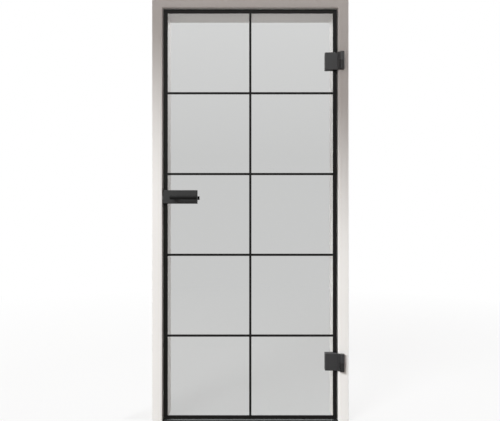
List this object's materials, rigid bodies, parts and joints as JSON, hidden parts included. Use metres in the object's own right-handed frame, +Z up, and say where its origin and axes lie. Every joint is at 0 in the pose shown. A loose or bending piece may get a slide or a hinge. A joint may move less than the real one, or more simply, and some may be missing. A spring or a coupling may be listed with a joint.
{
  "type": "glass door with frame",
  "caption": "Hinged clear glass door with a black printed pane grid, square hinges and a lever lock, hung in a white lined door frame with casings on both sides.",
  "frame": {"origin": "on the floor, midway between the jambs and midway between the front of the lever and the rear casing", "axes": "+Z up, +X to the right seen from the hinge side face, +Y through the wall away from that face"},
  "size_m": [0.94, 0.223, 2.035],
  "materials": {
    "casing_lacquer": "warm white satin lacquer on board",
    "lining_lacquer": "warm white satin lacquer on board",
    "seal_rubber": "light grey soft seal",
    "threshold_metal": "dark grey anodised",
    "fitting_coat": "anthracite fine powder coat",
    "lever_coat": "dark anthracite fine powder coat",
    "bright_steel": "bright zinc plated",
    "black_polymer": "matt black polymer",
    "clear_glass": "clear toughened glass with ground edges",
    "black_print": "matt black printed layer"
  },
  "bodies": {
    "frame": {"hinge_side_casing": "casing_lacquer", "lock_side_casing": "casing_lacquer", "head_casing": "casing_lacquer", "hinge_side_lining": "lining_lacquer", "lock_side_lining": "lining_lacquer", "head_lining": "lining_lacquer", "rear_hinge_side_casing": "casing_lacquer", "rear_lock_side_casing": "casing_lacquer", "rear_head_casing": "casing_lacquer", "hinge_side_seal": "seal_rubber", "lock_side_seal": "seal_rubber", "head_seal": "seal_rubber", "threshold_strip": "threshold_metal", "strike_plate": "fitting_coat", "strike_screws": "fitting_coat", "upper_hinge_frame_block": "fitting_coat", "lower_hinge_frame_block": "fitting_coat", "upper_hinge_receiver": "bright_steel", "lower_hinge_receiver": "bright_steel", "hinge_receiver_screws": "bright_steel", "upper_hinge_pin": "bright_steel", "lower_hinge_pin": "bright_steel"},
    "door": {"upper_hinge_leaf": "fitting_coat", "lower_hinge_leaf": "fitting_coat", "upper_hinge_bush": "black_polymer", "lower_hinge_bush": "black_polymer", "upper_hinge_front_pad": "black_polymer", "lower_hinge_front_pad": "black_polymer", "upper_hinge_back_pad": "black_polymer", "lower_hinge_back_pad": "black_polymer", "upper_hinge_back_plate": "fitting_coat", "lower_hinge_back_plate": "fitting_coat", "hinge_clamp_screws": "fitting_coat", "glass_pane": "clear_glass", "grid_print": "black_print", "lock_case": "fitting_coat", "lock_base_plate": "bright_steel", "lock_front_pad": "black_polymer", "lock_rear_pad": "black_polymer", "lock_rear_cover": "fitting_coat", "lock_clamp_screws": "fitting_coat", "front_lever_bush": "black_polymer", "rear_lever_bush": "black_polymer", "latch_spring": "bright_steel"},
    "lever": {"front_lever": "lever_coat", "rear_lever": "lever_coat", "spindle": "bright_steel", "lever_grub_screws": "bright_steel", "follower": "bright_steel"},
    "latch": {"latch_bolt": "bright_steel"}
  },
  "joints": [
    {"name": "door_swing", "type": "hinge", "parent": "frame", "child": "door", "pos_m": [0.4375, -0.07771, 1.01], "axis": [0, 0, 1], "range_deg": [0, 170]},
    {"name": "lever_turn", "type": "hinge", "parent": "door", "child": "lever", "pos_m": [-0.367, -0.0495, 1.076], "axis": [0, 1, 0], "range_deg": [0, 40], "stiffness_Nm_per_rad": 0.9, "springref_deg": -51.57},
    {"name": "latch_slide", "type": "slide", "parent": "door", "child": "latch", "axis": [1, 0, 0], "range_m": [0, 0.01], "deforming": ["latch_spring"]}
  ],
  "couplings": [
    {"joint": "latch_slide", "follows": "lever_turn", "m_per_rad": 0.01432}
  ]
}
